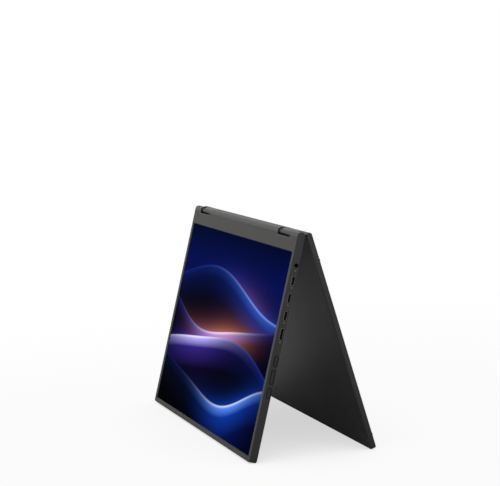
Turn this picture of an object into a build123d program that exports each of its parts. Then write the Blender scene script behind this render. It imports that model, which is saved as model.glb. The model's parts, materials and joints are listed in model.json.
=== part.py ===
from build123d import *
import os
from math import acos, cos, pi, radians, sin, tan
from typing import NamedTuple

# A dual portable monitor: two flat screens joined by a pair of geared hinges that open from
# closed (0 degrees) to folded back to back (360 degrees). It is drawn standing as a tent.
# Frame: +X along the hinge towards the sockets, +Y from the main panel to the lid, +Z up,
# origin on the table under the middle of the part. Millimetres.

# Screens: a 14-inch 16:10 picture and the frame around it
active_width = 301.6
active_height = 188.5
side_bezel = 5.4
free_edge_bezel = 4.6
chin = 18.9

# Panels
main_thickness = 7.6
lid_thickness = 5.4
shell_wall = 1.0
corner_radius = 3.0
edge_round = 0.8
hinge_lip = 1.4
bezel_thickness = 0.7
bezel_recess = 0.1
bezel_seam = 0.1
window_chamfer = 0.3
display_thickness = 1.1
display_border = 2.0
plate_thickness = 0.5
plate_screw_inset = 12.0
plate_screws_per_row = 4
near_row_margin = 56.2
far_row_margin = 22.2
bumper_radius = 2.0
bumper_height = 0.7
bumper_inset = 9.0

# Fasteners: a countersunk screw for the plates and a pan-head screw for leaves and boards
screw_radius = 0.7
screw_head_radius = 1.4
screw_head_height = 0.5
screw_slack = 0.05
sink_angle = 120.0
boss_wall = 1.0

# Hinges
tent_opening = 329.4
panel_gap = 1.2
hinge_inset = 20.0
hinge_length = 33.0
hinge_clear = 0.7
notch_corner = 1.0
cover_inset = 0.1
cover_wall = 0.6
shaft_radius = 1.0
shaft_flat = 0.3
journal_radius = 0.8
pin_radius = 0.55
running_clear = 0.05
bearing_plate = 1.6
gear_width = 3.4
washer_thickness = 0.4
washer_count = 3
washer_rim = 1.0
nut_thickness = 1.4
nut_wall = 0.9
leaf_length = 24.0
leaf_thickness = 1.2
leaf_clear = 0.2
leaf_screw_pitch = 9.0

# Hinge gears: four equal stub gears in a row from one shaft to the other
gear_teeth = 10
pressure_angle = 25.0
addendum = 0.8
dedendum = 1.05
backlash = 0.05

# Sockets and buttons on the +X edge, placed by their distance from the hinge edge
socket_recess = 0.4
socket_clear = 0.15
socket_wall = 0.3
socket_seat = 0.2
jack_place = 30.4
jack_bore = 3.6
jack_wall = 0.3
jack_shoulder = 0.8
jack_depth = 14.0
usb_place = 44.4
usb_pitch = 16.0
usb_width = 8.94
usb_height = 3.2
usb_depth = 7.4
usb_count = 3
usb_tongue_width = 6.7
hdmi_place = 93.3
hdmi_width = 11.2
hdmi_height = 3.2
hdmi_slant = 1.1
hdmi_depth = 7.6
hdmi_tongue_width = 8.0
tongue_thickness = 0.7
tongue_setback = 1.2
button_names = ("upper", "middle", "lower")
button_place = 118.0
button_pitch = 14.7
button_widths = (9.8, 12.8, 9.8)
button_height = 3.2
button_proud = 0.2
cap_share = 0.8
button_slack = 0.45
button_travel = 0.5
button_flange = 0.8
flange_rim = 0.9
switch_width = 4.4
switch_height = 3.0
switch_depth = 2.4
nib_radius = 0.8
nib_reach = 0.3
press_margin = 0.15
post_size = 2.0

# Circuit boards and the cable between the panels
board_thickness = 0.8
board_edge_gap = 0.6
main_board_width = 36.0
lid_board_width = 46.0
lid_board_height = 30.0
chip_height = 0.5
chip_size = 9.0
chip_spots = {"main": (44.0, 68.0), "lid": (13.0, 23.0)}
connector_width = 5.0
connector_depth = 3.4
cable_radius = 0.8
cable_turn = 3.2
cable_slack = 0.2
cable_dip = 5.0
cable_bend_share = 0.45

# What follows from them
panel_width = active_width + 2 * side_bezel
tilt = radians((360 - tent_opening) / 2)
shaft_spacing = (main_thickness + lid_thickness) / 2 + panel_gap
main_reach = active_height + free_edge_bezel + chin - main_thickness / 2
lid_reach = main_reach + tan(tilt) * (main_thickness - lid_thickness) / 2
corner_lift = edge_round * (cos(tilt) + sin(tilt) - 1)
shaft_height = main_reach * cos(tilt) + main_thickness / 2 * sin(tilt) - corner_lift
main_depth = main_reach * sin(tilt) + main_thickness / 2 * cos(tilt)
lid_depth = lid_reach * sin(tilt) + lid_thickness / 2 * cos(tilt)
middle = (main_depth - lid_depth) / 2
main_axis = Vector(0, middle - shaft_spacing / 2, shaft_height)
lid_axis = Vector(0, middle + shaft_spacing / 2, shaft_height)
cover_radius = lid_thickness / 2 - cover_inset
cover_length = hinge_length - 2 * hinge_clear
notch_depth = cover_radius + hinge_clear
notch_outer = panel_width / 2 - hinge_inset
notch_inner = notch_outer - hinge_length
notch_middle = (notch_inner + notch_outer) / 2
boss_radius = screw_radius + boss_wall
gear_pitch_radius = shaft_spacing / 6
gear_module = 2 * gear_pitch_radius / gear_teeth
gear_start = bearing_plate + running_clear
gear_plate_start = gear_start + gear_width + running_clear
washer_start = gear_plate_start + bearing_plate + running_clear
nut_start = washer_start + washer_count * (washer_thickness + running_clear)
main_idler_axis = Vector(0, middle - gear_pitch_radius, shaft_height)
lid_idler_axis = Vector(0, middle + gear_pitch_radius, shaft_height)
button_count = len(button_names)
switch_face = shell_wall + running_clear + button_flange + button_travel + press_margin
strip_face = -panel_width / 2 + switch_face + switch_depth
post_face = strip_face + board_thickness


class Panel(NamedTuple):
    """One screen half. Its plane has x along the hinge, y away from the shaft, z out of the screen."""

    name: str
    plane: Plane
    thickness: float
    reach: float
    port_side: int

    @property
    def half(self):
        return self.thickness / 2

    @property
    def floor(self):
        return -self.half + shell_wall

    @property
    def bezel_top(self):
        return self.half - bezel_recess

    @property
    def display_top(self):
        return self.bezel_top - bezel_thickness

    @property
    def display_back(self):
        return self.display_top - display_thickness

    @property
    def plate_back(self):
        return self.display_back - plate_thickness

    @property
    def active_end(self):
        return self.reach - free_edge_bezel

    @property
    def active_start(self):
        return self.active_end - active_height

    @property
    def display_start(self):
        return self.active_start - display_border

    def level(self, z):
        """Plane parallel to the screen at height z."""
        return self.plane.offset(z)

    def across(self, x, y=0.0, z=0.0):
        """Plane square to the hinge at x: sketch x runs away from the hinge, sketch y out of the screen."""
        origin = self.plane.from_local_coords(Vector(x, y, z))
        return Plane(origin=origin, x_dir=self.plane.y_dir, z_dir=self.plane.x_dir)


main = Panel(
    "main",
    Plane(origin=main_axis, x_dir=(-1, 0, 0), z_dir=(0, -cos(tilt), sin(tilt))),
    main_thickness,
    main_reach,
    -1,
)
lid = Panel(
    "lid",
    Plane(origin=lid_axis, x_dir=(1, 0, 0), z_dir=(0, cos(tilt), sin(tilt))),
    lid_thickness,
    lid_reach,
    1,
)
panels = (main, lid)
port_middle = main.floor + socket_seat + usb_height / 2
sides = {"left": -1, "right": 1}
cable_way = sides["right"]


def plate_screw_places(panel):
    """Two evenly spaced rows, one near the chin, clear of the boards, and one near the free edge."""
    near = panel.display_start + plate_screw_inset
    far = panel.active_end - plate_screw_inset
    places = []
    for row, margin in ((near, near_row_margin), (far, far_row_margin)):
        first = margin - panel_width / 2
        pitch = -2 * first / (plate_screws_per_row - 1)
        places += [(first + number * pitch, row) for number in range(plate_screws_per_row)]
    return places


def leaf_middle(way):
    """Middle of a hinge leaf along the panel, beside the inner wall of its notch."""
    return way * (notch_inner - shell_wall - leaf_clear - leaf_length / 2)


def leaf_reach(panel):
    """How far a hinge leaf runs from the shaft, stopping short of the display."""
    return panel.display_start - leaf_clear


def leaf_screw_places(panel):
    """Two places on each leaf, half way between the barrel and the display."""
    row = (panel.half - shell_wall + leaf_reach(panel)) / 2
    step = leaf_screw_pitch / 2
    return [(leaf_middle(way) + along, row) for way in (-1, 1) for along in (-step, step)]


def board_outline(panel):
    """Corner nearest the hinge and far corner of the panel's board, in panel coordinates."""
    edge = panel.port_side * (panel_width / 2 - shell_wall - board_edge_gap)
    if panel is main:
        low = main.display_start - connector_depth - leaf_clear
        high = hdmi_place - main.half + hdmi_width
        inner = edge - panel.port_side * main_board_width
    else:
        low = lid.display_start - connector_depth - leaf_clear
        high = low + lid_board_height
        inner = edge - panel.port_side * lid_board_width
    return min(edge, inner), low, max(edge, inner), high


def board_middle(panel):
    """Height of the middle of the board: level with the sockets, or half way behind the lid's plate."""
    if panel is main:
        return port_middle
    return (lid.floor + lid.plate_back) / 2


def board_screw_places(panel):
    """Two places along the board's inner edge."""
    left, low, right, high = board_outline(panel)
    inner = left if abs(left) < abs(right) else right
    inset = 2 * screw_head_radius
    x = inner + panel.port_side * inset
    return [(x, low + connector_depth + 2 * inset), (x, high - inset)]


def cable_row(panel):
    """Where along the panel the cable leaves the hinge axis towards the board."""
    return panel.port_side * (notch_outer + shell_wall + cable_slack + 2 * cable_radius + cable_turn)


def make_rear_cover(panel):
    """Tray with a hinge edge that is round about the shaft, a notch for each hinge, and screw bosses."""
    half = panel.half
    tray_start = notch_depth + shell_wall
    cell_end = tray_start + corner_radius - shell_wall
    tray_end = panel.reach - shell_wall
    tray_width = panel_width - 2 * shell_wall
    end_wall = panel_width / 2 - shell_wall
    inner_wall = notch_inner - shell_wall
    outer_wall = notch_outer + shell_wall
    with BuildPart() as cover:
        with BuildSketch(panel.across(-panel_width / 2)):
            with BuildLine():
                front = Line((0, half), (panel.reach, half))
                edge = Line(front @ 1, (panel.reach, -half))
                back = Line(edge @ 1, (0, -half))
                ThreePointArc(back @ 1, (-half, 0), front @ 0)
            make_face()
        extrude(amount=panel_width)
        fillet(cover.edges().filter_by(Axis(panel.plane.origin, panel.plane.z_dir)), radius=corner_radius)
        # one rim runs round the front, over the round hinge edge and round the back
        free_side = Axis(panel.plane.origin, panel.plane.y_dir)
        screen_side = Axis(panel.plane.origin, panel.plane.z_dir)
        front_face = cover.faces().sort_by(screen_side)[-1]
        fillet(front_face.edges().filter_by(Axis.X).sort_by(free_side)[-1], radius=edge_round)
        # hollow for the display and the boards
        with BuildSketch(panel.level(panel.floor)):
            with Locations((0, (tray_start + tray_end) / 2)):
                RectangleRounded(tray_width, tray_end - tray_start, corner_radius - shell_wall)
        extrude(amount=panel.thickness, mode=Mode.SUBTRACT)
        # the hollow reaches into the round edge between the notches, under a lip
        for start, stop in ((-end_wall, -outer_wall), (-inner_wall, inner_wall), (outer_wall, end_wall)):
            with BuildSketch(panel.across(start)):
                with BuildLine():
                    nose = ThreePointArc((0, panel.floor), (panel.floor, 0), (0, -panel.floor))
                    lip = Line(nose @ 1, (hinge_lip, -panel.floor))
                    mouth = Polyline(lip @ 1, (hinge_lip, panel.thickness), (cell_end, panel.thickness))
                    Polyline(mouth @ 1, (cell_end, panel.floor), nose @ 0)
                make_face()
            extrude(amount=stop - start, mode=Mode.SUBTRACT)
        # bosses stand on the floor of the tray
        boss_tops = [(plate_screw_places(panel), panel.plate_back)]
        boss_tops += [(leaf_screw_places(panel), -leaf_thickness / 2)]
        boss_tops += [(board_screw_places(panel), board_middle(panel) - board_thickness / 2)]
        for places, top in boss_tops:
            with BuildSketch(panel.level(panel.floor)):
                with Locations(*places):
                    Circle(boss_radius)
                    Circle(screw_radius + screw_slack, mode=Mode.SUBTRACT)
            extrude(amount=top - panel.floor)
        # notches, with a hole for the shaft in the inner wall
        with BuildSketch(panel.level(-panel.thickness)):
            with Locations(*[(way * notch_middle, 0) for way in sides.values()]):
                RectangleRounded(hinge_length, 2 * notch_depth, notch_corner)
            with Locations(*[(way * notch_middle, -notch_depth) for way in sides.values()]):
                Rectangle(hinge_length, 2 * notch_depth)
        extrude(amount=2 * panel.thickness, mode=Mode.SUBTRACT)
        for way in sides.values():
            with BuildSketch(panel.across(way * notch_inner)):
                Circle(shaft_radius + leaf_clear)
            extrude(amount=-way * 2 * shell_wall, mode=Mode.SUBTRACT)
        # hole for the cable in the outer wall of one notch
        with BuildSketch(panel.across(panel.port_side * notch_outer)):
            Circle(cable_radius + cable_slack)
        extrude(amount=panel.port_side * 2 * shell_wall, mode=Mode.SUBTRACT)
    return cover.part


def make_front_bezel(panel):
    """Frame that drops inside the tray's rim, with the picture window and a pocket round each notch."""
    start = hinge_lip + bezel_seam
    stop = panel.reach - shell_wall - bezel_seam
    inset = shell_wall + bezel_seam
    pocket_length = hinge_length + 2 * inset
    pocket_stop = notch_depth + inset
    with BuildPart() as bezel:
        with BuildSketch(panel.level(panel.display_top)):
            with Locations((0, (start + stop) / 2)):
                RectangleRounded(panel_width - 2 * inset, stop - start, corner_radius - inset)
            with Locations((0, (panel.active_start + panel.active_end) / 2)):
                Rectangle(active_width, active_height, mode=Mode.SUBTRACT)
            with Locations(*[(way * notch_middle, start) for way in sides.values()]):
                Rectangle(pocket_length, 2 * (pocket_stop - start), mode=Mode.SUBTRACT)
        extrude(amount=bezel_thickness)
        top = bezel.faces().sort_by(Axis(panel.plane.origin, panel.plane.z_dir))[-1]
        chamfer(top.inner_wires()[0].edges(), length=window_chamfer)
    return bezel.part


def make_display(panel):
    """Picture panel: a flat glass module that reaches a little under the bezel all round."""
    with BuildPart() as display:
        with BuildSketch(panel.level(panel.display_back)):
            with Locations((0, (panel.active_start + panel.active_end) / 2)):
                RectangleRounded(
                    active_width + 2 * display_border,
                    active_height + 2 * display_border,
                    display_border / 2,
                )
        extrude(amount=display_thickness)
    return display.part


def make_support_plate(panel):
    """Sheet behind the picture panel, countersunk for its screws, cut away over the sockets."""
    bay_edge = panel_width / 2 - shell_wall - board_edge_gap - main_board_width - board_edge_gap
    bay_start = main.display_start - display_border
    bay_stop = button_row(button_count - 1) + max(button_widths)
    with BuildPart(panel.level(panel.display_back)) as plate:
        with BuildSketch(panel.level(panel.display_back)):
            with Locations((0, (panel.active_start + panel.active_end) / 2)):
                Rectangle(active_width + display_border, active_height + 2 * display_border)
            if panel is main:
                with Locations((main.port_side * (bay_edge + panel_width / 2), (bay_start + bay_stop) / 2)):
                    Rectangle(panel_width, bay_stop - bay_start, mode=Mode.SUBTRACT)
        extrude(amount=-plate_thickness)
        with Locations(*plate_screw_places(panel)):
            CounterSinkHole(screw_radius + screw_slack, screw_head_radius, counter_sink_angle=sink_angle)
    return plate.part


def make_plate_screws(panel):
    """Countersunk screws, flush with the front of the support plate, down into the bosses."""
    head = (screw_head_radius - screw_radius) / tan(radians(sink_angle / 2))
    top_end = (Align.CENTER, Align.CENTER, Align.MAX)
    length = panel.display_back - panel.floor - screw_slack
    with BuildPart(panel.level(panel.display_back)) as screws:
        with Locations(*plate_screw_places(panel)):
            Cone(screw_radius, screw_head_radius, head, align=top_end)
            Cylinder(screw_radius, length, align=top_end)
    return screws.part


def make_pan_screws(panel, places, seat):
    """Pan-head screws at some places, their heads on a seat, their shanks down to the tray's floor."""
    with BuildPart(panel.level(seat)) as screws:
        with Locations(*places):
            Cylinder(screw_head_radius, screw_head_height, align=(Align.CENTER, Align.CENTER, Align.MIN))
            Cylinder(
                screw_radius,
                seat - panel.floor - screw_slack,
                align=(Align.CENTER, Align.CENTER, Align.MAX),
            )
        heads = screws.faces().group_by(Axis(panel.plane.origin, panel.plane.z_dir))[-1]
        fillet(heads.edges(), radius=screw_head_height / 2)
    return screws.part


def make_hinge_leaf(panel, way):
    """Steel leaf: a barrel keyed to the shaft and a flange screwed to the rear cover."""
    barrel = panel.half - shell_wall - leaf_clear
    middle_x = leaf_middle(way)
    with BuildPart() as leaf:
        with BuildSketch(panel.across(middle_x - leaf_length / 2)):
            Circle(barrel)
            with Locations((leaf_reach(panel) / 2, 0)):
                Rectangle(leaf_reach(panel), leaf_thickness)
            add(keyed_circle(shaft_radius + running_clear, shaft_flat), mode=Mode.SUBTRACT)
        extrude(amount=leaf_length)
        with BuildSketch(panel.level(-leaf_thickness)):
            with Locations(*[place for place in leaf_screw_places(panel) if place[0] * way > 0]):
                Circle(screw_radius + screw_slack)
        extrude(amount=2 * leaf_thickness, mode=Mode.SUBTRACT)
        tips = leaf.edges().filter_by(Axis(panel.plane.origin, panel.plane.z_dir))
        fillet(tips.group_by(Axis(panel.plane.origin, panel.plane.y_dir))[-1], radius=leaf_thickness)
    return leaf.part


def keyed_circle(radius, flat):
    """Circle with a flat on one side, as on a keyed shaft and the hole that holds it."""
    with BuildSketch(mode=Mode.PRIVATE) as keyed:
        Circle(radius)
        with Locations((0, 2 * radius - flat)):
            Rectangle(2 * radius, 2 * radius, mode=Mode.SUBTRACT)
    return keyed.sketch


def make_bumpers():
    """Soft dots on the lid's frame that meet the main panel's frame when it is closed."""
    x = panel_width / 2 - (side_bezel + shell_wall + bezel_seam) / 2
    rows = (lid.active_start + bumper_inset, lid.active_end - bumper_inset)
    with BuildPart(lid.level(lid.bezel_top)) as bumpers:
        with Locations(*[(way * x, row) for way in sides.values() for row in rows]):
            Cylinder(bumper_radius, bumper_height, align=(Align.CENTER, Align.CENTER, Align.MIN))
        tops = bumpers.faces().group_by(Axis(lid.plane.origin, lid.plane.z_dir))[-1]
        fillet(tops.edges(), radius=bumper_height / 2)
    return bumpers.part


# Sockets and buttons on the +X edge of the main panel


def edge_plane(place, depth=0.0):
    """Plane on the +X edge at a place, sunk by a depth: sketch x runs away from the hinge."""
    corner = Vector(-panel_width / 2 + depth, place - main.half, port_middle)
    return Plane(origin=main.plane.from_local_coords(corner), x_dir=main.plane.y_dir, z_dir=(1, 0, 0))


def button_row(number):
    """Distance from the shaft to the middle of a button."""
    return button_place - main.half + number * button_pitch


def usb_outline(grow=0.0):
    """Rounded slot of a reversible socket."""
    with BuildSketch(mode=Mode.PRIVATE) as outline:
        SlotOverall(usb_width + 2 * grow, usb_height + 2 * grow)
    return outline.sketch


def hdmi_outline(grow=0.0):
    """Rectangle with two slanted corners."""
    with BuildSketch(mode=Mode.PRIVATE) as outline:
        Rectangle(hdmi_width + 2 * grow, hdmi_height + 2 * grow)
        chamfer(outline.vertices().group_by(Axis.Y)[0], length=hdmi_slant)
    return outline.sketch


def make_socket(place, outline, depth, tongue_width):
    """Metal shell with a blind mouth and a contact tongue that stops short of it."""
    with BuildPart() as socket:
        with BuildSketch(edge_plane(place, socket_recess)):
            add(outline(0.0))
        extrude(amount=-depth)
        with BuildSketch(edge_plane(place, socket_recess)):
            add(outline(-socket_wall))
        extrude(amount=-(depth - socket_wall), mode=Mode.SUBTRACT)
        with BuildSketch(edge_plane(place, socket_recess + depth)):
            Rectangle(tongue_width, tongue_thickness)
        extrude(amount=depth - tongue_setback)
    return socket.part


def make_jack():
    """Round barrel with a plug bore on a block body."""
    barrel = jack_bore / 2 + jack_wall
    body_face = shell_wall + board_edge_gap
    with BuildPart() as jack:
        with BuildSketch(edge_plane(jack_place, socket_recess)):
            Circle(barrel)
        extrude(amount=-jack_depth)
        with BuildSketch(edge_plane(jack_place, body_face)):
            Rectangle(2 * barrel + 2 * jack_shoulder, 2 * barrel)
        extrude(amount=-(jack_depth + socket_recess - body_face))
        with BuildSketch(edge_plane(jack_place, socket_recess)):
            Circle(jack_bore / 2)
        extrude(amount=-(jack_depth - jack_wall), mode=Mode.SUBTRACT)
    return jack.part


def make_button(number):
    """Key cap in its slot, a flange with wings behind the wall and a nib that presses the switch."""
    place = button_row(number) + main.half
    width = button_widths[number]
    height = button_height - 2 * button_slack
    flange_face = shell_wall + running_clear
    nib_length = button_travel + press_margin + nib_reach
    with BuildPart() as button:
        with BuildSketch(edge_plane(place, -button_proud)):
            SlotOverall(width - 2 * button_slack, height)
        extrude(amount=-(button_proud + flange_face))
        cap = button.faces().sort_by(Axis.X)[-1]
        fillet(cap.edges(), radius=button_proud * cap_share)
        with BuildSketch(edge_plane(place, flange_face)):
            SlotOverall(width + 2 * flange_rim, height)
        extrude(amount=-button_flange)
        with BuildSketch(edge_plane(place, flange_face + button_flange)):
            Circle(nib_radius)
        extrude(amount=-nib_length)
    return button.part


def make_switches():
    """Push switches, one behind each button, each with a pocket for the nib."""
    pocket = nib_reach + button_travel + press_margin
    with BuildPart() as switches:
        for number in range(button_count):
            with BuildSketch(edge_plane(button_row(number) + main.half, switch_face)):
                Rectangle(switch_width, switch_height)
            extrude(amount=-switch_depth)
            with BuildSketch(edge_plane(button_row(number) + main.half, switch_face)):
                Circle(nib_radius + button_slack)
            extrude(amount=-pocket, mode=Mode.SUBTRACT)
    return switches.part


def make_button_board():
    """Narrow board that stands on the tray's floor behind the switches."""
    height = port_middle + switch_height / 2 - main.floor
    length = (button_count - 1) * button_pitch + max(button_widths)
    row = button_row((button_count - 1) / 2)
    with BuildPart() as board:
        with BuildSketch(main.level(main.floor)):
            with Locations((strip_face + board_thickness / 2, row)):
                Rectangle(board_thickness, length)
        extrude(amount=height)
    return board.part


def socket_list():
    """Each socket's place, outline function, depth and tongue width."""
    usb = [(usb_place + k * usb_pitch, usb_outline, usb_depth, usb_tongue_width) for k in range(usb_count)]
    return usb + [(hdmi_place, hdmi_outline, hdmi_depth, hdmi_tongue_width)]


def make_main_rear_cover():
    """The main panel's tray, with its socket and button openings and the posts behind the button board."""
    post_height = port_middle + switch_height / 2 - main.floor
    post_rows = [button_row(number + 0.5) for number in range(button_count - 1)]
    with BuildPart() as cover:
        add(make_rear_cover(main))
        for place, outline, _, _ in socket_list():
            with BuildSketch(edge_plane(place, -socket_recess)):
                add(outline(socket_clear))
            extrude(amount=-2 * shell_wall, mode=Mode.SUBTRACT)
        barrel = jack_bore / 2 + jack_wall + socket_clear
        with BuildSketch(edge_plane(jack_place, -socket_recess)):
            Circle(barrel)
        extrude(amount=-2 * shell_wall, mode=Mode.SUBTRACT)
        # the jack's body is taller than the room above the floor, so it sits in a pocket
        with BuildSketch(edge_plane(jack_place, shell_wall)):
            Rectangle(2 * barrel + 2 * jack_shoulder, 2 * barrel)
        extrude(amount=-(jack_depth + socket_recess + socket_clear - shell_wall), mode=Mode.SUBTRACT)
        for number in range(button_count):
            with BuildSketch(edge_plane(button_row(number) + main.half, -socket_recess)):
                SlotOverall(button_widths[number], button_height)
            extrude(amount=-2 * shell_wall, mode=Mode.SUBTRACT)
        with BuildSketch(main.level(main.floor)):
            with Locations(*[(post_face + post_size / 2, row) for row in post_rows]):
                Rectangle(post_size, post_size)
        extrude(amount=post_height)
    return cover.part


def make_board(panel):
    """Circuit board with its cable connector and chips, cut out round the sockets that sit in its edge."""
    left, low, right, high = board_outline(panel)
    top = board_middle(panel) + board_thickness / 2
    middle_x = (left + right) / 2
    chips = [(middle_x, low + spot) for spot in chip_spots[panel.name]]
    with BuildPart() as board:
        with BuildSketch(panel.level(top - board_thickness)):
            with Locations(((left + right) / 2, (low + high) / 2)):
                Rectangle(right - left, high - low)
            with Locations(*board_screw_places(panel)):
                Circle(screw_radius + screw_slack, mode=Mode.SUBTRACT)
            if panel is main:
                edge = left
                for place, _, depth, _ in socket_list():
                    width = (usb_width if depth == usb_depth else hdmi_width) + 2 * socket_clear
                    reach = depth + socket_recess - shell_wall - board_edge_gap + socket_clear
                    with Locations((edge, place - main.half)):
                        Rectangle(2 * reach, width, mode=Mode.SUBTRACT)
                width = jack_bore + 2 * jack_wall + 2 * jack_shoulder + 2 * socket_clear
                reach = jack_depth + socket_recess - shell_wall - board_edge_gap + socket_clear
                with Locations((edge, jack_place - main.half)):
                    Rectangle(2 * reach, width, mode=Mode.SUBTRACT)
        extrude(amount=board_thickness)
        with BuildSketch(panel.level(top)):
            with Locations((cable_row(panel), low + connector_depth / 2)):
                Rectangle(connector_width, connector_depth)
        extrude(amount=cable_radius + cable_slack - top)
        with BuildSketch(panel.level(top)):
            with Locations(*chips):
                RectangleRounded(chip_size, chip_size, chip_height)
        extrude(amount=chip_height)
    return board.part


def make_panel_cable(panel):
    """The stretch of display cable from the hinge axis, through the notch wall, to the board."""
    start = panel.port_side * (notch_outer - hinge_clear / 2)
    _, low, _, _ = board_outline(panel)
    row = cable_row(panel)
    points = [(start, 0, 0), (row, 0, 0), (row, low, 0)]
    with BuildPart() as cable:
        with BuildLine():
            FilletPolyline(*[panel.plane.from_local_coords(Vector(p)) for p in points], radius=cable_turn)
        with BuildSketch(panel.across(start)):
            Circle(cable_radius)
        sweep()
    return cable.part


# Hinge units: every piece of one sits in a row from the inner end of its cover outwards


def unit_plane(way, along, axis=None):
    """Plane square to the hinge, outwards from the cover's inner end: sketch x runs to the lid."""
    y = middle if axis is None else axis.Y
    return Plane(
        origin=(way * (notch_inner + hinge_clear + along), y, shaft_height),
        x_dir=(0, 1, 0),
        z_dir=(way, 0, 0),
    )


def gear_outline(turn):
    """Stub involute gear: each flank runs radially from the root, then along the involute to the tip."""
    base = gear_pitch_radius * cos(radians(pressure_angle))
    tip = gear_pitch_radius + addendum * gear_module
    root = gear_pitch_radius - dedendum * gear_module

    def involute(angle):
        return tan(angle) - angle

    def half_tooth(radius):
        at_pitch = pi / (2 * gear_teeth) - backlash / (2 * gear_pitch_radius)
        return at_pitch + involute(radians(pressure_angle)) - involute(acos(min(1.0, base / radius)))

    rising = [(radius, -half_tooth(radius)) for radius in (root, base, gear_pitch_radius, tip)]
    tooth = rising + [(radius, -angle) for radius, angle in reversed(rising)]
    points = []
    for number in range(gear_teeth):
        centre = 2 * pi * number / gear_teeth + turn
        points += [(r * cos(centre + a), r * sin(centre + a)) for r, a in tooth]
    with BuildSketch(mode=Mode.PRIVATE) as gear:
        with BuildLine():
            Polyline(*points, close=True)
        make_face()
    return gear.sketch


def make_shaft(panel, way):
    """Shaft keyed into the leaf, running in the bearing plate, with its gear and a threaded end."""
    axis = main_axis if panel is main else lid_axis
    leaf_start = -(hinge_clear + shell_wall + leaf_clear + leaf_length)
    turn = 0.0 if panel is main else pi / gear_teeth
    with BuildPart() as shaft:
        with BuildSketch(panel.across(leaf_middle(way * panel.port_side) - leaf_length / 2)):
            add(keyed_circle(shaft_radius, shaft_flat))
        extrude(amount=leaf_length)
        with BuildSketch(unit_plane(way, leaf_start + leaf_length, axis)):
            Circle(shaft_radius)
        extrude(amount=gear_start - leaf_start - leaf_length)
        with BuildSketch(unit_plane(way, gear_start, axis)):
            add(gear_outline(turn))
        extrude(amount=gear_width)
        with BuildSketch(unit_plane(way, gear_start + gear_width, axis)):
            Circle(journal_radius)
        extrude(amount=nut_start + nut_thickness - gear_start - gear_width)
    return shaft.part


def make_idler(way, place, turn):
    """Idler gear with a bore for its pin."""
    with BuildPart() as idler:
        with BuildSketch(unit_plane(way, gear_start, place)):
            add(gear_outline(turn))
            Circle(pin_radius + running_clear, mode=Mode.SUBTRACT)
        extrude(amount=gear_width)
    return idler.part


def make_hinge_plate(way, start, hole):
    """Plate that fills the cover's bore, with two shaft holes and two pin holes."""
    with BuildPart() as plate:
        with BuildSketch(unit_plane(way, start)):
            SlotCenterToCenter(shaft_spacing, 2 * (cover_radius - cover_wall))
            with Locations((-shaft_spacing / 2, 0), (shaft_spacing / 2, 0)):
                Circle(hole + running_clear, mode=Mode.SUBTRACT)
            with Locations((-gear_pitch_radius, 0), (gear_pitch_radius, 0)):
                Circle(pin_radius, mode=Mode.SUBTRACT)
        extrude(amount=bearing_plate)
    return plate.part


def make_idler_pins():
    """Two pins a side, riveted through both plates."""
    with BuildPart() as pins:
        for way in sides.values():
            with BuildSketch(unit_plane(way, 0)):
                with Locations((-gear_pitch_radius, 0), (gear_pitch_radius, 0)):
                    Circle(pin_radius)
            extrude(amount=gear_plate_start + bearing_plate)
    return pins.part


def make_hinge_cover(way):
    """Capsule closed at its outer end, with holes there for the cable on the side that carries it."""
    with BuildPart() as cover:
        with BuildSketch(unit_plane(way, 0)):
            SlotCenterToCenter(shaft_spacing, 2 * cover_radius)
        extrude(amount=cover_length)
        ends = cover.faces().filter_by(Axis.X)
        fillet(ends.edges(), radius=cover_wall / 2)
        with BuildSketch(unit_plane(way, 0)):
            SlotCenterToCenter(shaft_spacing, 2 * (cover_radius - cover_wall))
        extrude(amount=cover_length - cover_wall, mode=Mode.SUBTRACT)
        if way == cable_way:
            with BuildSketch(unit_plane(way, cover_length)):
                with Locations((-shaft_spacing / 2, 0), (shaft_spacing / 2, 0)):
                    Circle(cable_radius + cable_slack)
            extrude(amount=-2 * cover_wall, mode=Mode.SUBTRACT)
    return cover.part


def make_washers():
    """Friction washers stacked on each shaft between the gear plate and the nut."""
    with BuildPart() as washers:
        for way in sides.values():
            for number in range(washer_count):
                with BuildSketch(unit_plane(way, washer_start + number * (washer_thickness + running_clear))):
                    with Locations((-shaft_spacing / 2, 0), (shaft_spacing / 2, 0)):
                        Circle(journal_radius + washer_rim)
                        Circle(journal_radius + running_clear, mode=Mode.SUBTRACT)
                extrude(amount=washer_thickness)
    return washers.part


def make_nuts(axis):
    """Hexagon nuts that set the friction on one panel's two shafts."""
    with BuildPart() as nuts:
        for way in sides.values():
            with BuildSketch(unit_plane(way, nut_start, axis)):
                RegularPolygon(journal_radius + nut_wall, 6, major_radius=False)
                Circle(journal_radius, mode=Mode.SUBTRACT)
            extrude(amount=nut_thickness)
    return nuts.part


def make_hinge_cable():
    """The turn of cable inside the cover, from one shaft axis to the other."""
    mouth = cover_length + hinge_clear / 2 - running_clear
    radius = shaft_spacing * cable_bend_share
    plane = unit_plane(cable_way, 0)
    half = shaft_spacing / 2
    route = [(-half, mouth), (-half, mouth - cable_dip), (half, mouth - cable_dip), (half, mouth)]
    with BuildPart() as cable:
        with BuildLine():
            FilletPolyline(*[plane.from_local_coords(Vector(x, 0, z)) for x, z in route], radius=radius)
        with BuildSketch(unit_plane(cable_way, mouth, main_axis)):
            Circle(cable_radius)
        sweep()
    return cable.part


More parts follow.
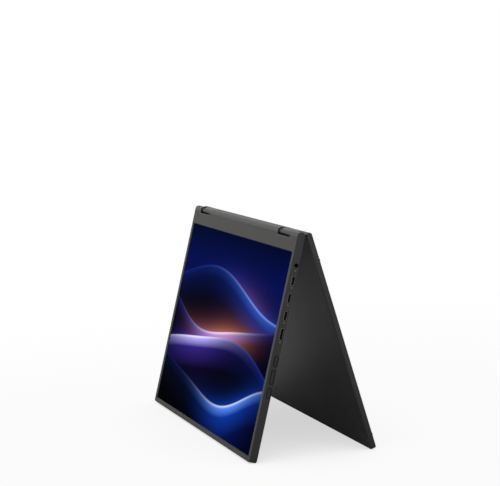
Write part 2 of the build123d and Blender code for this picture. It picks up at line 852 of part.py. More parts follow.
def make_pieces():
    """Every piece by the name of its node."""
    pieces = {"main_rear_cover": make_main_rear_cover(), "lid_rear_cover": make_rear_cover(lid)}
    for panel in panels:
        pieces[f"{panel.name}_front_bezel"] = make_front_bezel(panel)
        pieces[f"{panel.name}_display"] = make_display(panel)
        pieces[f"{panel.name}_support_plate"] = make_support_plate(panel)
        pieces[f"{panel.name}_plate_screws"] = make_plate_screws(panel)
        pieces[f"{panel.name}_board"] = make_board(panel)
        board_seat = board_middle(panel) + board_thickness / 2
        pieces[f"{panel.name}_board_screws"] = make_pan_screws(panel, board_screw_places(panel), board_seat)
        leaf_seat = leaf_thickness / 2
        pieces[f"{panel.name}_hinge_screws"] = make_pan_screws(panel, leaf_screw_places(panel), leaf_seat)
        pieces[f"{panel.name}_cable"] = make_panel_cable(panel)
        pieces[f"{panel.name}_shaft_nuts"] = make_nuts(main_axis if panel is main else lid_axis)
        for side, way in sides.items():
            panel_way = way * panel.port_side
            pieces[f"{panel.name}_hinge_leaf_{side}"] = make_hinge_leaf(panel, panel_way)
            pieces[f"{panel.name}_shaft_{side}"] = make_shaft(panel, way)
    pieces["lid_bumpers"] = make_bumpers()
    pieces["headphone_jack"] = make_jack()
    for number, socket in enumerate(socket_list()[:usb_count]):
        pieces[f"usb_c_socket_{number + 1}"] = make_socket(*socket)
    pieces["mini_hdmi_socket"] = make_socket(*socket_list()[-1])
    for number, name in enumerate(button_names):
        pieces[f"{name}_button"] = make_button(number)
    pieces["button_switches"] = make_switches()
    pieces["button_board"] = make_button_board()
    for side, way in sides.items():
        pieces[f"hinge_cover_{side}"] = make_hinge_cover(way)
        pieces[f"hinge_bearing_plate_{side}"] = make_hinge_plate(way, 0, shaft_radius)
        pieces[f"hinge_gear_plate_{side}"] = make_hinge_plate(way, gear_plate_start, journal_radius)
        pieces[f"main_idler_gear_{side}"] = make_idler(way, main_idler_axis, pi / gear_teeth)
        pieces[f"lid_idler_gear_{side}"] = make_idler(way, lid_idler_axis, 0.0)
    pieces["idler_pins"] = make_idler_pins()
    pieces["friction_washers"] = make_washers()
    pieces["hinge_cable"] = make_hinge_cable()
    return pieces


pieces = make_pieces()
os.makedirs("parts", exist_ok=True)
for name, piece in pieces.items():
    piece.label = name
    export_step(piece, f"parts/{name}.step")
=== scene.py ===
import json
from typing import NamedTuple

import bpy
import numpy as np
from mathutils import Euler, Matrix, Vector


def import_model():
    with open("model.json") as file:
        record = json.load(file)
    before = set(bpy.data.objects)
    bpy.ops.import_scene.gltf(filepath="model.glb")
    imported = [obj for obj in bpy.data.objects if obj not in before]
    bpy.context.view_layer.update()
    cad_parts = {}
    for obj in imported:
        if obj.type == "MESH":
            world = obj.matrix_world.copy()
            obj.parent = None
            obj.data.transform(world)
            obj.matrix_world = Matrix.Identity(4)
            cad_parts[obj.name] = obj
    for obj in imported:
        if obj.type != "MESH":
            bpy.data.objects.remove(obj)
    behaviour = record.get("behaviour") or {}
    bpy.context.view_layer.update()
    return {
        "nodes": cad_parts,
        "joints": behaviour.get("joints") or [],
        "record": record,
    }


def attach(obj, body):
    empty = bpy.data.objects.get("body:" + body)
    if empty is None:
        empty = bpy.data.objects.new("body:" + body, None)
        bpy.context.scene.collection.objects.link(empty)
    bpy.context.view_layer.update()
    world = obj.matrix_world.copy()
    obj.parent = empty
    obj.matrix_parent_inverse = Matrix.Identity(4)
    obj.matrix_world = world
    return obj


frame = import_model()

# The looks of a dual portable monitor standing as a tent: two lit screens in charcoal plastic trays,
# joined by geared hinges, with sockets and buttons along the near edge of the main panel.
# Metres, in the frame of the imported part: +X along the hinge, +Y towards the lid, +Z up.

MM = 0.001
TURN = 2 * np.pi

# Camera: the photograph's place, turn and lens
CAMERA_PLACE = (1.65954, -0.55433, 0.38435)
CAMERA_TURN_DEG = (83.3403, 2.39376, 71.25079)
CAMERA_LENS_MM = 129.85466
CAMERA_SENSOR_MM = 36.0

# Screens: how far the glass reaches under the frame, as in the solids, how deep it glows, and its seal
PICTURE_BORDER = 2.0 * MM
LIT_DEPTH = 0.05 * MM
SEAL_RADIUS = 0.22 * MM
SEAL_CORNER = 0.6 * MM

# Sockets: the tongues, as in the solids, and the contact pads on them, more of them in a long socket
TONGUE_SETBACK = 1.2 * MM
TONGUE_THICKNESS = 0.7 * MM
PAD_PITCH = 0.5 * MM
PAD_WIDTH = 0.26 * MM
PAD_HEIGHT = 0.05 * MM
PAD_LENGTH = 3.0 * MM
PAD_SETBACK = 0.5 * MM
PADS_IN_ROW = 12
PADS_IN_LONG_ROW = 15
LONG_SOCKET = 10.0 * MM

# The ring at the headphone jack, and the dashes printed beside the sockets
JACK_RING_RADIUS = 0.16 * MM
MARK_LENGTH = 1.8 * MM
MARK_WIDTH = 0.45 * MM
MARK_HEIGHT = 0.02 * MM
MARK_GAP = 1.9 * MM

# Buttons: the gap round a cap and how far its wings pass its opening, as in the solids, and the black bead
# round each opening, which is painted shade for that gap
KEY_GAP = 0.45 * MM
KEY_WING = 0.9 * MM
SHADE_BEAD_RADIUS = 0.3 * MM

# Studio: the point that the lamps look at, and half the floor's side
PART_MIDDLE = (0.0, 0.0, 0.1)
FLOOR_HALF = 6.0


class Panel(NamedTuple):
    """One screen half: its shaft's middle, and right, up and out as seen by someone facing its screen."""

    name: str
    shaft: np.ndarray
    axes: np.ndarray

    def to_part(self, points):
        """Points in right, up, out of this panel, moved to the part's frame."""
        return self.shaft + np.asarray(points) @ self.axes

    def span(self, node):
        """Lowest and highest corner of a CAD node in right, up, out of this panel."""
        mesh = frame["nodes"][node].data
        points = np.empty(3 * len(mesh.vertices))
        mesh.vertices.foreach_get("co", points)
        local = (points.reshape(-1, 3) - self.shaft) @ self.axes.T
        return local.min(0), local.max(0)


joints = {joint["name"]: joint for joint in frame["joints"]}
tilt = np.radians(joints["main_fold"]["range_deg"][1])


def facing(name, way):
    """The panel whose screen looks towards -Y (way 1) or +Y (way -1), leaning back by the tilt."""
    shaft = np.array(joints[f"{name}_fold"]["pos_m"])
    right = (way, 0.0, 0.0)
    up = (0.0, way * np.sin(tilt), np.cos(tilt))
    return Panel(name, shaft, np.array([right, up, np.cross(right, up)]))


main = facing("main", 1)
lid = facing("lid", -1)

# The plated sockets on the main panel's edge, from the hinge down
edge_sockets = [part["node"] for part in frame["record"]["subparts"] if part["material_slot"] == "socket"]
edge_sockets.sort(key=lambda node: main.span(node)[1][1], reverse=True)


# Materials

def linear(colour):
    """Linear red, green, blue and alpha of an sRGB hex colour."""
    srgb = np.array([int(colour[k:k + 2], 16) for k in (1, 3, 5)]) / 255
    rgb = np.where(srgb <= 0.04045, srgb / 12.92, ((srgb + 0.055) / 1.055) ** 2.4)
    return (*rgb.tolist(), 1.0)


def add(tree, kind, inputs=None, stops=None, **settings):
    """Adds a node: settings are properties, inputs are constants or links, stops are a ramp's colours."""
    node = tree.nodes.new(kind)
    for name, value in settings.items():
        setattr(node, name, value)
    for key, value in (inputs or {}).items():
        if isinstance(value, bpy.types.NodeSocket):
            tree.links.new(value, node.inputs[key])
        else:
            node.inputs[key].default_value = value
    if stops:
        ramp = node.color_ramp
        while len(ramp.elements) < len(stops):
            ramp.elements.new(1.0)
        for element, (place, colour) in zip(ramp.elements, stops):
            element.position = place
            element.color = linear(colour)
    return node


def new_finish(name, **sockets):
    """A material of one Principled shader with some constant sockets, its tree and Object coordinates."""
    material = bpy.data.materials.new(name)
    material.use_nodes = True
    tree = material.node_tree
    tree.nodes.clear()
    constants = {key.replace("_", " "): value for key, value in sockets.items()}
    shader = add(tree, "ShaderNodeBsdfPrincipled", constants)
    add(tree, "ShaderNodeOutputMaterial", {"Surface": shader.outputs[0]})
    place = add(tree, "ShaderNodeTexCoord").outputs["Object"]
    return material, tree, shader, place


def moulded_plastic(name, dark, light, roughness, grain):
    """ABS or nylon from a spark-eroded mould: a dull, even tone broken by a fine pebbled grain.

    The real grain is about 0.3 mm; it is drawn coarser, as given, so that it shows in the render.
    """
    cloud_size = 70 * MM
    tone_span = (0.12, 0.4)
    pebble_span = (0.3, 0.7)
    dull_swing = 0.04
    relief = 0.03 * MM
    relief_strength = 0.12
    material, tree, shader, place = new_finish(name, IOR=1.53, Specular_IOR_Level=0.3)
    cloud = add(tree, "ShaderNodeTexNoise", {"Vector": place, "Scale": 1 / cloud_size, "Detail": 3.0})
    pebbles = add(
        tree, "ShaderNodeTexNoise",
        {"Vector": place, "Scale": 1 / grain, "Detail": 3.0, "Roughness": 0.65},
    )
    shade = add(tree, "ShaderNodeMath", {0: cloud.outputs[0], 1: pebbles.outputs[0]}, operation="MULTIPLY")
    tone = add(tree, "ShaderNodeMapRange", {0: shade.outputs[0], 1: tone_span[0], 2: tone_span[1]})
    colour = add(
        tree, "ShaderNodeMix", {0: tone.outputs[0], 6: linear(dark), 7: linear(light)}, data_type="RGBA"
    )
    dull = add(
        tree, "ShaderNodeMapRange",
        {
            0: pebbles.outputs[0], 1: pebble_span[0], 2: pebble_span[1],
            3: roughness - dull_swing, 4: roughness + dull_swing,
        },
    )
    bump = add(
        tree, "ShaderNodeBump",
        {"Height": pebbles.outputs[0], "Strength": relief_strength, "Distance": relief},
    )
    tree.links.new(colour.outputs[2], shader.inputs["Base Color"])
    tree.links.new(dull.outputs[0], shader.inputs["Roughness"])
    tree.links.new(bump.outputs[0], shader.inputs["Normal"])
    return material


def brushed_metal(name, dark, light, roughness, line):
    """Rolled, turned or plated metal: bright, with fine lines along X, the darker of them duller too."""
    along_lines = 0.08
    dull_swing = 0.1
    material, tree, shader, place = new_finish(name, Metallic=1.0)
    lines = add(tree, "ShaderNodeMapping", {"Vector": place, "Scale": (along_lines, 1.0, 1.0)})
    grain = add(
        tree, "ShaderNodeTexNoise",
        {"Vector": lines.outputs[0], "Scale": 1 / line, "Detail": 4.0, "Roughness": 0.6},
    )
    colour = add(
        tree, "ShaderNodeMix", {0: grain.outputs[0], 6: linear(dark), 7: linear(light)}, data_type="RGBA"
    )
    dull = add(
        tree, "ShaderNodeMapRange",
        {0: grain.outputs[0], 3: roughness + dull_swing, 4: roughness - dull_swing},
    )
    tree.links.new(colour.outputs[2], shader.inputs["Base Color"])
    tree.links.new(dull.outputs[0], shader.inputs["Roughness"])
    return material


def socket_with_painted_shade(mouth):
    """Plated steel socket, bright at the mouth, given as X, and near-black without metal deeper in, which
    is painted shade for the hollow.
    """
    lip = 0.35 * MM
    lip_fade = 0.3 * lip
    drawing_line = 0.3 * MM
    material, tree, shader, place = new_finish(
        "nickel_plated_steel_painted_shade", Roughness=0.38, Specular_IOR_Level=0.2
    )
    depth = add(tree, "ShaderNodeSeparateXYZ", {0: place}).outputs[0]
    plated = add(
        tree, "ShaderNodeMapRange", {0: depth, 1: mouth - lip - lip_fade, 2: mouth - lip + lip_fade}
    )
    lines = add(tree, "ShaderNodeTexNoise", {"Vector": place, "Scale": 1 / drawing_line, "Detail": 3.0})
    nickel = add(
        tree, "ShaderNodeMix",
        {0: lines.outputs[0], 6: linear("#5f5c54"), 7: linear("#85816f")}, data_type="RGBA",
    )
    # Painted shade: near-black for the socket's hollow past the lip
    painted_shade_tone = add(
        tree, "ShaderNodeMix",
        {0: lines.outputs[0], 6: linear("#050505"), 7: linear("#0a0a0a")}, data_type="RGBA",
    )
    colour = add(
        tree, "ShaderNodeMix",
        {0: plated.outputs[0], 6: painted_shade_tone.outputs[2], 7: nickel.outputs[2]}, data_type="RGBA",
    )
    tree.links.new(colour.outputs[2], shader.inputs["Base Color"])
    tree.links.new(plated.outputs[0], shader.inputs["Metallic"])
    return material


def matt_skin(name, dark, light, roughness, grain):
    """Rubber, cable jacket or printing ink: almost no gloss, with a faint mottled bloom on the skin."""
    dull_swing = 0.08
    material, tree, shader, place = new_finish(name, IOR=1.52, Specular_IOR_Level=0.3)
    bloom = add(tree, "ShaderNodeTexNoise", {"Vector": place, "Scale": 1 / grain, "Detail": 4.0})
    colour = add(
        tree, "ShaderNodeMix", {0: bloom.outputs[0], 6: linear(dark), 7: linear(light)}, data_type="RGBA"
    )
    dull = add(
        tree, "ShaderNodeMapRange",
        {0: bloom.outputs[0], 3: roughness - dull_swing, 4: roughness + dull_swing},
    )
    tree.links.new(colour.outputs[2], shader.inputs["Base Color"])
    tree.links.new(dull.outputs[0], shader.inputs["Roughness"])
    return material


def circuit_board():
    """Solder-masked board: glossy green lacquer, lighter where a copper track runs underneath."""
    track_pitch = 1.6 * MM
    track_share = 0.06
    track_run = 3.0
    relief = 0.03 * MM
    relief_strength = 0.4
    material, tree, shader, place = new_finish("solder_masked_board", IOR=1.5, Roughness=0.32)
    tracks = add(
        tree, "ShaderNodeTexBrick",
        {
            "Vector": place, "Scale": 1 / track_pitch, "Mortar Size": track_share,
            "Brick Width": track_run, "Row Height": 1.0,
            "Color1": linear("#0f4a2c"), "Color2": linear("#0c3f26"), "Mortar": linear("#2f7a4c"),
        },
    )
    bump = add(
        tree, "ShaderNodeBump",
        {"Height": tracks.outputs[1], "Strength": relief_strength, "Distance": relief},
    )
    tree.links.new(tracks.outputs[0], shader.inputs["Base Color"])
    tree.links.new(bump.outputs[0], shader.inputs["Normal"])
    return material


# The wallpaper on both screens: swells of light, one in front of another

class Swell(NamedTuple):
    """One layer of the wallpaper, under a crest line that waves across the picture.

    The crest's mean level and its rise are shares of the picture's height, and it makes so many turns from
    its start. The light falls on it about one place with some spread, both shares of the picture's width.
    Its lit and unlit colours go from the crest down, at DEPTHS.
    """

    level: float
    rise: float
    turns: float
    start: float
    light: float
    spread: float
    lit: tuple
    unlit: tuple


# Heights and depths are shares of the picture's height; a ripple is a smaller, quicker wave on a crest
DEPTHS = (0.0, 0.014, 0.06, 0.17, 0.4)
EDGE_BLUR = 0.004
HALO_HEIGHT = 0.035
RIPPLE_TURNS = 1.7
RIPPLE_SHARE = 0.3

# The sky from the foot of the picture to its top, and the warm glow in it: across and up
SKY = ((0.0, "#000004"), (0.5, "#010416"), (0.8, "#040f50"), (1.0, "#01072a"))
GLOW_PLACE = (0.60, 0.55)
GLOW_SIZE = (0.20, 0.13)
GLOW_COLOUR = "#b05e2c"

# The lid's waves are this many turns ahead of the main panel's
LID_DRIFT = 0.31

SWELLS = (
    Swell(
        level=0.72, rise=0.075, turns=0.62, start=0.05, light=0.82, spread=0.30,
        lit=("#7d9df5", "#2850b0", "#0f2876", "#040c38", "#01030e"),
        unlit=("#0e2478", "#07165a", "#040d3a", "#010414", "#000105"),
    ),
    Swell(
        level=0.55, rise=0.085, turns=0.75, start=0.42, light=0.52, spread=0.22,
        lit=("#f8f0ff", "#b98fe0", "#b5642e", "#3e1420", "#030004"),
        unlit=("#20206c", "#0c0c44", "#050524", "#010109", "#000002"),
    ),
    Swell(
        level=0.39, rise=0.095, turns=0.66, start=0.90, light=0.30, spread=0.26,
        lit=("#ffffff", "#b4acff", "#34227e", "#090422", "#000003"),
        unlit=("#162884", "#081458", "#030930", "#01020b", "#000002"),
    ),
    Swell(
        level=0.22, rise=0.085, turns=0.83, start=0.35, light=0.74, spread=0.24,
        lit=("#e6eeff", "#5288f4", "#0a3598", "#040f46", "#000208"),
        unlit=("#0c1650", "#050b30", "#020516", "#000105", "#000001"),
    ),
)


def wallpaper(tree, across, up, drift):
    """Colour of the wallpaper at a place across and up the picture, from far to near.

    The sky is a ramp with a glow. Each swell fills the picture below its crest, the sum of two sines, with
    its colours by depth. Above the crest it throws a halo on what is behind: e to the power of the depth,
    which is negative there, over the halo's height.
    """
    def bell(value, middle, size):
        """Bell curve: e to the power of minus the square of the distance from the middle over the size."""
        offset = add(
            tree, "ShaderNodeMath", {0: value, 1: 1 / size, 2: -middle / size}, operation="MULTIPLY_ADD"
        )
        square = add(tree, "ShaderNodeMath", {0: offset.outputs[0], 1: 2.0}, operation="POWER")
        fall = add(tree, "ShaderNodeMath", {0: square.outputs[0], 1: -1.0}, operation="MULTIPLY")
        return add(tree, "ShaderNodeMath", {0: fall.outputs[0]}, operation="EXPONENT").outputs[0]

    def wave(turns, start):
        """Sine of so many turns across the picture."""
        angle = add(
            tree, "ShaderNodeMath", {0: across, 1: TURN * turns, 2: TURN * (start + drift)},
            operation="MULTIPLY_ADD",
        )
        return add(tree, "ShaderNodeMath", {0: angle.outputs[0]}, operation="SINE").outputs[0]

    sky = add(tree, "ShaderNodeValToRGB", {0: up}, stops=SKY)
    glow = add(
        tree, "ShaderNodeMath",
        {0: bell(across, GLOW_PLACE[0], GLOW_SIZE[0]), 1: bell(up, GLOW_PLACE[1], GLOW_SIZE[1])},
        operation="MULTIPLY",
    )
    picture = add(
        tree, "ShaderNodeMix", {0: glow.outputs[0], 6: sky.outputs[0], 7: linear(GLOW_COLOUR)},
        data_type="RGBA", blend_type="ADD",
    )
    for swell in SWELLS:
        quick = wave(swell.turns * RIPPLE_TURNS, swell.light)
        slow = wave(swell.turns, swell.start)
        ripple = add(
            tree, "ShaderNodeMath", {0: quick, 1: swell.rise * RIPPLE_SHARE, 2: swell.level},
            operation="MULTIPLY_ADD",
        )
        crest = add(
            tree, "ShaderNodeMath", {0: slow, 1: swell.rise, 2: ripple.outputs[0]},
            operation="MULTIPLY_ADD",
        )
        depth = add(tree, "ShaderNodeMath", {0: crest.outputs[0], 1: up}, operation="SUBTRACT").outputs[0]
        light = bell(across, swell.light, swell.spread)
        lit = add(tree, "ShaderNodeValToRGB", {0: depth}, stops=tuple(zip(DEPTHS, swell.lit)))
        unlit = add(tree, "ShaderNodeValToRGB", {0: depth}, stops=tuple(zip(DEPTHS, swell.unlit)))
        body = add(
            tree, "ShaderNodeMix", {0: light, 6: unlit.outputs[0], 7: lit.outputs[0]}, data_type="RGBA"
        )
        rise = add(tree, "ShaderNodeMath", {0: depth, 1: 1 / HALO_HEIGHT}, operation="MULTIPLY")
        fade = add(tree, "ShaderNodeMath", {0: rise.outputs[0]}, operation="EXPONENT")
        halo = add(
            tree, "ShaderNodeMath", {0: fade.outputs[0], 1: light}, operation="MULTIPLY", use_clamp=True
        )
        haze = add(
            tree, "ShaderNodeMix", {0: halo.outputs[0], 6: picture.outputs[2], 7: linear(swell.lit[2])},
            data_type="RGBA", blend_type="ADD",
        )
        below = add(
            tree, "ShaderNodeMapRange", {0: depth, 1: -EDGE_BLUR, 2: EDGE_BLUR},
            interpolation_type="SMOOTHSTEP",
        )
        picture = add(
            tree, "ShaderNodeMix", {0: below.outputs[0], 6: haze.outputs[2], 7: body.outputs[2]},
            data_type="RGBA",
        )
    return picture.outputs[2]


def lit_screen(panel, drift):
    """Lit picture behind anti-glare glass: the picture glows and the glass barely mirrors the room.

    Only the front glows; the rim and the back of the panel are dark.
    """
    material, tree, shader, place = new_finish(
        f"{panel.name}_lit_screen",
        Roughness=0.3, IOR=1.5, Specular_IOR_Level=0.0002, Emission_Strength=1.0,
    )
    shader.inputs["Base Color"].default_value = linear("#020204")
    low, high = panel.span(f"{panel.name}_display")
    corner = panel.to_part((low[0] + PICTURE_BORDER, low[1] + PICTURE_BORDER, 0.0))
    width, height = (high - low)[:2] - 2 * PICTURE_BORDER
    lean = Matrix(panel.axes.tolist()).transposed().to_euler()
    picture_place = add(
        tree, "ShaderNodeMapping",
        {"Vector": place, "Location": Vector(corner), "Rotation": lean, "Scale": (width, height, 1.0)},
        vector_type="TEXTURE",
    )
    across, up, out = add(tree, "ShaderNodeSeparateXYZ", {0: picture_place.outputs[0]}).outputs
    picture = wallpaper(tree, across, up, drift)
    front = add(tree, "ShaderNodeMath", {0: out, 1: high[2] - LIT_DEPTH}, operation="GREATER_THAN")
    glowing = add(
        tree, "ShaderNodeMix", {0: front.outputs[0], 6: linear("#000000"), 7: picture}, data_type="RGBA"
    )
    tree.links.new(glowing.outputs[2], shader.inputs["Emission Color"])
    return material


# New pieces

def skin(name, rings, closed=False):
    """Mesh over rings of points, an array of shapes by rings by points by xyz.

    Quads join each ring to the next. The end rings are capped, or joined to each other where closed.
    """
    shapes, count, size, _ = rings.shape
    index = np.arange(shapes * count * size).reshape(shapes, count, size)
    start = index if closed else index[:, :-1]
    after = np.roll(index, -1, axis=1) if closed else index[:, 1:]
    quads = np.stack([start, np.roll(start, -1, axis=2), np.roll(after, -1, axis=2), after], axis=-1)
    faces = quads.reshape(-1, 4).tolist()
    if not closed:
        faces += index[:, 0, ::-1].tolist() + index[:, -1].tolist()
    mesh = bpy.data.meshes.new(name)
    mesh.from_pydata(rings.reshape(-1, 3).tolist(), [], faces)
    mesh.polygons.foreach_set("use_smooth", np.ones(len(faces), bool))
    piece = bpy.data.objects.new(name, mesh)
    bpy.context.scene.collection.objects.link(piece)
    return piece


def dress(piece, finish, body):
    """Gives a new piece its finish and the body that it rides on."""
    piece.data.materials.append(finish)
    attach(piece, body)


def low_pads(name, middles, length, width, height, axes):
    """Low pads with rounded corners, one at each middle, all in one mesh.

    Outline: a superellipse, length/2 sgn(cos v) |cos v|^(1/3) by width/2 sgn(sin v) |sin v|^(1/3).
    The rim goes up and then in over a quarter circle of half the height.
    Axes are the ways that length, width and height run.
    """
    outline_points = 20
    rim_points = 4
    round_off = height / 2
    angle = np.linspace(0, TURN, outline_points, endpoint=False)
    corner = np.stack([np.sign(f(angle)) * np.abs(f(angle)) ** (1 / 3) for f in (np.cos, np.sin)], axis=-1)
    lean = np.linspace(0, TURN / 4, rim_points)
    inset = np.concatenate([[0.0], round_off * (1 - np.cos(lean))])
    level = np.concatenate([[0.0], height - round_off + round_off * np.sin(lean)])
    half = np.array([length, width]) / 2 - inset[:, None]
    flat = corner[None] * half[:, None]
    local = np.concatenate([flat, np.broadcast_to(level[:, None, None], (*flat.shape[:2], 1))], axis=-1)
    return skin(name, np.asarray(middles)[:, None, None] + local @ np.asarray(axes))


def round_bar(name, path, outward, side, radius):
    """Round bar along a closed path: path + radius (outward cos v + side sin v) for v once round."""
    bar_points = 10
    around = np.linspace(0, TURN, bar_points, endpoint=False)[:, None]
    offset = outward[:, None] * np.cos(around) + side * np.sin(around)
    return skin(name, (path[:, None] + radius * offset)[None], closed=True)


def rounded_loop(half, corner):
    """Rectangle with round corners about nought: its points and the outward way at each.

    Each corner is a quarter circle, (half - corner) with the corner's signs + corner (cos v, sin v).
    """
    corner_points = 9
    quarter = np.linspace(0, TURN / 4, corner_points)
    angle = (np.arange(4)[:, None] * TURN / 4 + quarter).ravel()
    way = np.stack([np.cos(angle), np.sin(angle)], axis=-1)
    signs = np.repeat(np.array([[1, 1], [-1, 1], [-1, -1], [1, -1]]), corner_points, axis=0)
    return signs * (np.asarray(half) - corner) + way * corner, way


def screen_seal(panel, finish):
    """Thin black seal between the frame's window and the glass: a round bar along the picture's rim."""
    low, high = panel.span(f"{panel.name}_display")
    middle = (low + high) / 2
    half = (high - low)[:2] / 2 - PICTURE_BORDER - SEAL_RADIUS
    flat, way = rounded_loop(half, SEAL_CORNER)
    path = panel.to_part(np.column_stack([middle[:2] + flat, np.full(len(flat), high[2])]))
    outward = np.column_stack([way, np.zeros(len(way))]) @ panel.axes
    seal = round_bar(f"{panel.name}_screen_seal", path, outward, panel.axes[2], SEAL_RADIUS)
    dress(seal, finish, f"{panel.name}_panel")


def button_shade_beads(finish):
    """Black bead in the panel's edge round each button's opening, level with the button's cap: painted
    shade, a dark line for the shade in the gap round the cap.

    Each is a round bar along a loop with half-round ends.
    """
    for name in ("upper", "middle", "lower"):
        low, high = main.span(f"{name}_button")
        middle = (low + high)[1:] / 2
        level = high[0] - SHADE_BEAD_RADIUS
        half = (high - low)[1:] / 2 - (KEY_WING, -KEY_GAP) + SHADE_BEAD_RADIUS
        flat, way = rounded_loop(half, half[1])
        path = main.to_part(np.column_stack([np.full(len(flat), level), middle + flat]))
        outward = np.column_stack([np.zeros(len(way)), way]) @ main.axes
        bead = round_bar(f"{name}_button_surround", path, outward, main.axes[0], SHADE_BEAD_RADIUS)
        dress(bead, finish, "main_panel")


def tongue_pads(node):
    """Middles of the contact pads on the upper and on the lower face of a socket's tongue."""
    low, high = main.span(node)
    middle = (low + high) / 2
    count = PADS_IN_LONG_ROW if high[1] - low[1] > LONG_SOCKET else PADS_IN_ROW
    along = middle[1] + (np.arange(count) - (count - 1) / 2) * PAD_PITCH
    depth = high[0] - TONGUE_SETBACK - PAD_SETBACK - PAD_LENGTH / 2
    level = middle[2] + TONGUE_THICKNESS / 2
    upper = np.column_stack([np.full(count, depth), along, np.full(count, level)])
    return upper, upper - (0.0, 0.0, TONGUE_THICKNESS)


def socket_contacts(finish):
    """Gilded contact pads, in a row on each face of every tongue."""
    right, _, out = main.axes
    for face, (name, outward) in enumerate((("upper", out), ("lower", -out))):
        rows = [tongue_pads(node)[face] for node in edge_sockets]
        pads = low_pads(
            f"{name}_socket_contacts", main.to_part(np.concatenate(rows)),
            PAD_LENGTH, PAD_WIDTH, PAD_HEIGHT, (right, np.cross(outward, right), outward),
        )
        dress(pads, finish, "main_panel")


def jack_ring(finish):
    """Blackened ring round the mouth of the headphone jack: a round bar along a circle."""
    ring_points = 40
    jack = next(mount for mount in frame["record"]["mounts"] if mount["name"] == "headphone_bore")
    radius = jack["dims"]["r_mm"] * MM + JACK_RING_RADIUS
    mouth = main.span("headphone_jack")[1][0]
    _, up, out = (np.array(jack["pos_m"]) - main.shaft) @ main.axes.T
    angle = np.linspace(0, TURN, ring_points, endpoint=False)
    way = np.column_stack([np.zeros_like(angle), np.cos(angle), np.sin(angle)])
    path = main.to_part(np.array([mouth, up, out]) + radius * way)
    ring = round_bar("jack_ring", path, way @ main.axes, main.axes[0], JACK_RING_RADIUS)
    dress(ring, finish, "main_panel")


def printed_marks(finish):
    """A short plain dash printed beside each socket, on the edge of the main panel."""
    face = main.span("main_rear_cover")[1][0]
    places = []
    for node in ("headphone_jack", *edge_sockets):
        low, high = main.span(node)
        places.append((face, low[1] - MARK_GAP, (low[2] + high[2]) / 2))
    right, _, out = main.axes
    marks = low_pads(
        "socket_marks", main.to_part(places),
        MARK_LENGTH, MARK_WIDTH, MARK_HEIGHT, (out, np.cross(right, out), right),
    )
    dress(marks, finish, "main_panel")


# Put together

finishes = {
    # Trays: broad dull charcoal, on the backs and the edges
    "shell": moulded_plastic("charcoal_moulded_abs", "#2a2a2a", "#343433", roughness=0.42, grain=0.9 * MM),
    # Frames round the screens: lighter and duller than the trays
    "bezel": moulded_plastic("charcoal_frame_abs", "#383734", "#3d3c38", roughness=0.58, grain=0.6 * MM),
    # Hinge covers: a little darker than the trays
    "hinge_cover": moulded_plastic("dark_satin_abs", "#262626", "#30302f", roughness=0.45, grain=0.7 * MM),
    # Key caps: close to the trays, a little duller
    "button": moulded_plastic("key_cap_abs", "#282828", "#323231", roughness=0.48, grain=0.6 * MM),
    # Jack and switches: black; also the beads round the buttons, which are painted shade
    "black_plastic": moulded_plastic("black_nylon", "#060606", "#0c0c0c", roughness=0.55, grain=0.5 * MM),
    # Support plates: pale rolled sheet
    "plate": brushed_metal("mill_finish_aluminium", "#b4b6b8", "#d2d4d6", roughness=0.36, line=0.5 * MM),
    # Sockets: plated steel at the mouth, painted shade deeper in
    "socket": socket_with_painted_shade(mouth=main.span(edge_sockets[0])[1][0]),
    # Screws and the jack's ring: a dark oxide skin that still shines
    "screw": brushed_metal("blackened_steel", "#3a3a3b", "#55565a", roughness=0.4, line=0.3 * MM),
    # Hinge leaves, shafts, gears, pins and washers: bright bare steel
    "steel": brushed_metal("turned_steel", "#9a9b9d", "#c2c3c5", roughness=0.3, line=0.3 * MM),
    # Seals and bumper dots: soft and very dull
    "rubber": matt_skin("soft_black_rubber", "#151515", "#222221", roughness=0.8, grain=1.5 * MM),
    # The display cable: smoother than the rubber
    "cable": matt_skin("black_cable_jacket", "#101010", "#1c1c1c", roughness=0.6, grain=2.0 * MM),
    "board": circuit_board(),
}
# Contact pads: warm bright gold
gilding = brushed_metal("gilded_contacts", "#c69a3e", "#e8c46a", roughness=0.28, line=0.3 * MM)
# Printed dashes: pale grey
pale_ink = matt_skin("pale_printing_ink", "#8d8c88", "#a3a29e", roughness=0.7, grain=0.6 * MM)
screens = {"main_display": lit_screen(main, drift=0.0), "lid_display": lit_screen(lid, drift=LID_DRIFT)}

for subpart in frame["record"]["subparts"]:
    node = subpart["node"]
    finish = screens.get(node) or finishes[subpart["material_slot"]]
    for slot in frame["nodes"][node].material_slots:
        slot.material = finish

screen_seal(main, finishes["rubber"])
screen_seal(lid, finishes["rubber"])
socket_contacts(gilding)
jack_ring(finishes["screw"])
# Painted shade: black beads round the button openings
button_shade_beads(finishes["black_plastic"])
printed_marks(pale_ink)


# Studio

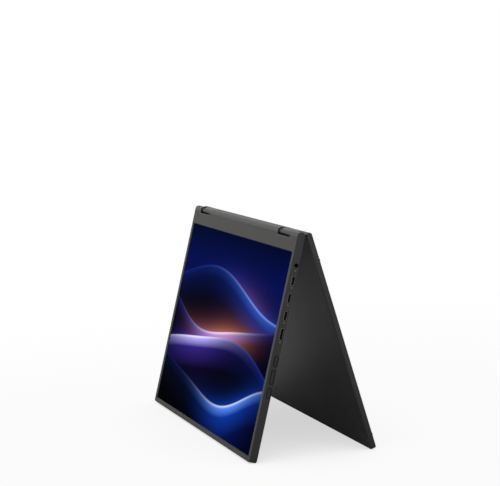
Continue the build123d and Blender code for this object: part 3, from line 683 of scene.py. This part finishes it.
def white_paper():
    """Floor paper: white to the camera, and greyer where the part hides the sky from it, as its shadow.

    The white is a glow that only the camera and mirrors see. Near the part the camera also sees a little
    of the paper's own shading, and mirrors see that alone. The light that it throws back is its own too.
    """
    fibre_size = 4 * MM
    contact_reach = 240 * MM
    contact_samples = 8
    contact_tones = ((0.0, "#d0d0d0"), (0.3, "#eaeaea"), (0.6, "#fafafa"), (0.85, "#ffffff"))
    near_reach = 0.3
    far_reach = 0.9
    near_seen = 0.94
    near_mirrored = 0.0
    material, tree, shader, place = new_finish("white_paper", Roughness=0.9, Specular_IOR_Level=0.1)
    fibre = add(tree, "ShaderNodeTexNoise", {"Vector": place, "Scale": 1 / fibre_size, "Detail": 3.0})
    tone = add(
        tree, "ShaderNodeMix",
        {0: fibre.outputs[0], 6: linear("#d8d8d8"), 7: linear("#e0e0e0")}, data_type="RGBA",
    )
    rays = add(tree, "ShaderNodeLightPath")
    seen = add(
        tree, "ShaderNodeMath", {0: rays.outputs["Is Camera Ray"], 1: rays.outputs["Is Glossy Ray"]},
        operation="MAXIMUM",
    )
    reach = add(tree, "ShaderNodeVectorMath", {0: place}, operation="LENGTH")
    near = add(
        tree, "ShaderNodeMapRange", {0: rays.outputs["Is Camera Ray"], 3: near_mirrored, 4: near_seen}
    )
    white = add(
        tree, "ShaderNodeMapRange",
        {0: reach.outputs["Value"], 1: near_reach, 2: far_reach, 3: near.outputs[0], 4: 1.0},
    )
    lift = add(tree, "ShaderNodeMath", {0: seen.outputs[0], 1: white.outputs[0]}, operation="MULTIPLY")
    open_sky = add(
        tree, "ShaderNodeAmbientOcclusion", {"Distance": contact_reach}, samples=contact_samples
    )
    contact = add(tree, "ShaderNodeValToRGB", {0: open_sky.outputs["AO"]}, stops=contact_tones)
    glow = add(tree, "ShaderNodeEmission", {"Color": contact.outputs[0]})
    mixed = add(tree, "ShaderNodeMixShader", {0: lift.outputs[0], 1: shader.outputs[0], 2: glow.outputs[0]})
    output = next(node for node in tree.nodes if node.type == "OUTPUT_MATERIAL")
    tree.links.new(tone.outputs[2], shader.inputs["Base Color"])
    tree.links.new(mixed.outputs[0], output.inputs["Surface"])
    return material


def floor():
    """Flat square of paper under the part: x and y from minus to plus half its side, z at nought."""
    side_points = 9
    side = np.linspace(-FLOOR_HALF, FLOOR_HALF, side_points)
    x, y = np.meshgrid(side, side)
    points = np.stack([x, y, np.zeros_like(x)], axis=-1)
    index = np.arange(x.size).reshape(x.shape)
    quads = np.stack([index[:-1, :-1], index[:-1, 1:], index[1:, 1:], index[1:, :-1]], axis=-1)
    mesh = bpy.data.meshes.new("floor")
    mesh.from_pydata(points.reshape(-1, 3).tolist(), [], quads.reshape(-1, 4).tolist())
    mesh.materials.append(white_paper())
    sheet = bpy.data.objects.new("floor", mesh)
    bpy.context.scene.collection.objects.link(sheet)


def world():
    """Soft grey-white room light; white for the camera, for mirrors and through glass."""
    room_light = 0.42
    sky = bpy.data.worlds.new("studio")
    sky.use_nodes = True
    tree = sky.node_tree
    tree.nodes.clear()
    rays = add(tree, "ShaderNodeLightPath")
    seen = rays.outputs["Is Camera Ray"]
    for kind in ("Is Glossy Ray", "Is Transmission Ray"):
        seen = add(tree, "ShaderNodeMath", {0: seen, 1: rays.outputs[kind]}, operation="MAXIMUM").outputs[0]
    strength = add(tree, "ShaderNodeMapRange", {0: seen, 3: room_light, 4: 1.0})
    light = add(tree, "ShaderNodeBackground", {"Color": linear("#ffffff"), "Strength": strength.outputs[0]})
    add(tree, "ShaderNodeOutputWorld", {"Surface": light.outputs[0]})
    bpy.context.scene.world = sky


def softbox(name, place, size, watts):
    """Square soft light at a place, turned to the middle of the part."""
    lamp = bpy.data.lights.new(name, "AREA")
    lamp.size = size
    lamp.energy = watts
    holder = bpy.data.objects.new(name, lamp)
    holder.location = place
    holder.rotation_euler = (Vector(PART_MIDDLE) - Vector(place)).to_track_quat("-Z", "Y").to_euler()
    bpy.context.scene.collection.objects.link(holder)
    return holder


def camera():
    """Camera at the photograph's place, turn and lens."""
    lens = bpy.data.cameras.new("camera")
    lens.sensor_width = CAMERA_SENSOR_MM
    lens.lens = CAMERA_LENS_MM
    holder = bpy.data.objects.new("camera", lens)
    holder.location = CAMERA_PLACE
    holder.rotation_euler = Euler(np.radians(CAMERA_TURN_DEG))
    bpy.context.scene.collection.objects.link(holder)
    bpy.context.scene.camera = holder


floor()
world()
camera()
softbox("key_light", place=(-0.4, -1.6, 1.4), size=1.2, watts=6.0)
# This one shines through the tent from its far end; mirrors don't show it, so that the hinges don't glare
through_light = softbox("through_light", place=(-1.1, -0.1, 0.35), size=0.5, watts=4.4)
through_light.visible_glossy = False
softbox("edge_light", place=(1.7, 0.9, 1.0), size=0.9, watts=4.5)
bpy.context.scene.view_settings.view_transform = "Standard"
